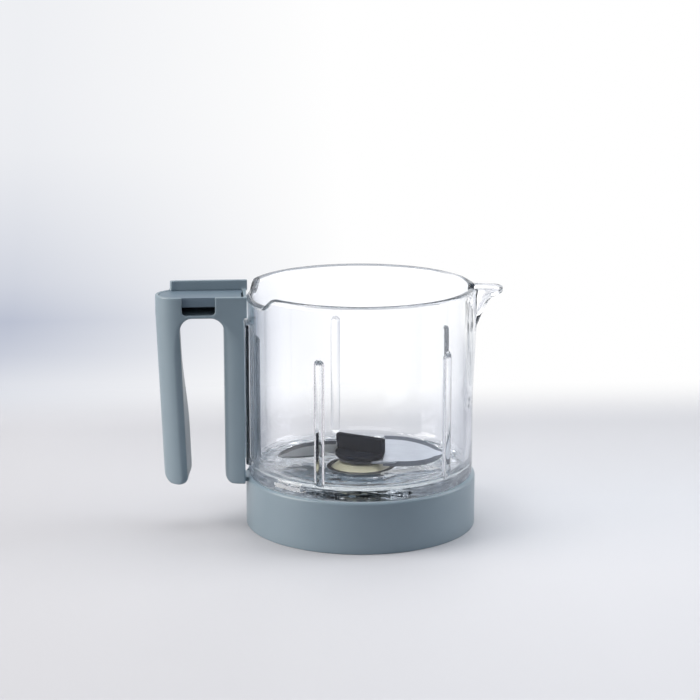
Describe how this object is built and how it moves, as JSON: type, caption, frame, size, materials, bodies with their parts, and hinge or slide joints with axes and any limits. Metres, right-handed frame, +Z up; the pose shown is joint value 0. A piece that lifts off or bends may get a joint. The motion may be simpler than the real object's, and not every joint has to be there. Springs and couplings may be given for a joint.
{
  "type": "baby food maker bowl",
  "caption": "Glass blending bowl with pouring spout, plastic base ring, two-legged handle with lid catch, and a lift-out blade unit held by a wing nut.",
  "frame": {"origin": "centre of the base ring's standing face, on the bowl's axis", "axes": "+Z up along the bowl's axis, -X to the handle, +X to the spout, -Y to the side that the lid swings in from"},
  "size_m": [0.2026, 0.136, 0.1447],
  "materials": {
    "glass": "clear",
    "slate_plastic": "satin",
    "black_plastic": "satin",
    "grey_plastic": "satin",
    "ivory_plastic": "satin",
    "clear_silicone": "matte",
    "black_rubber": "matte",
    "blade_steel": "polished",
    "bright_steel": "satin",
    "spring_steel": "satin",
    "bronze": "satin"
  },
  "bodies": {
    "bowl": {"glass_bowl": "glass", "base_ring": "slate_plastic", "foot_gasket": "clear_silicone", "handle_shell": "slate_plastic", "handle_bond_pad": "clear_silicone", "handle_screws": "bright_steel", "lid_catch": "slate_plastic", "interlock_spring": "spring_steel", "rod_guide": "grey_plastic", "nut_gasket": "clear_silicone"},
    "interlock": {"interlock_rod": "ivory_plastic"},
    "blade_unit": {"bearing_housing": "ivory_plastic", "housing_gasket": "black_rubber", "upper_bush": "bronze", "lower_bush": "bronze", "shaft_seal": "black_rubber"},
    "rotor": {"spindle": "bright_steel", "thrust_washer": "bright_steel", "circlip": "spring_steel", "drive_coupling": "grey_plastic", "blade": "blade_steel", "blade_washer": "bright_steel", "blade_grip": "black_plastic"},
    "nut": {"wing_nut": "grey_plastic"}
  },
  "joints": [
    {"name": "blade_unit_lift", "type": "slide", "parent": "bowl", "child": "blade_unit", "axis": [0, 0, 1], "range_m": [0, 0.135]},
    {"name": "blade_spin", "type": "hinge", "parent": "blade_unit", "child": "rotor", "pos_m": [0, 0, 0.038], "axis": [0, 0, 1], "continuous": true},
    {"name": "wing_nut_turn", "type": "hinge", "parent": "bowl", "child": "nut", "pos_m": [0, 0, 0.02], "axis": [0, 0, 1], "range_deg": [0, 90]},
    {"name": "interlock_press", "type": "slide", "parent": "bowl", "child": "interlock", "axis": [0, 0, -1], "range_m": [0, 0.0035], "stiffness_N_per_m": 400, "springref_m": -0.004, "deforming": ["interlock_spring"]}
  ]
}
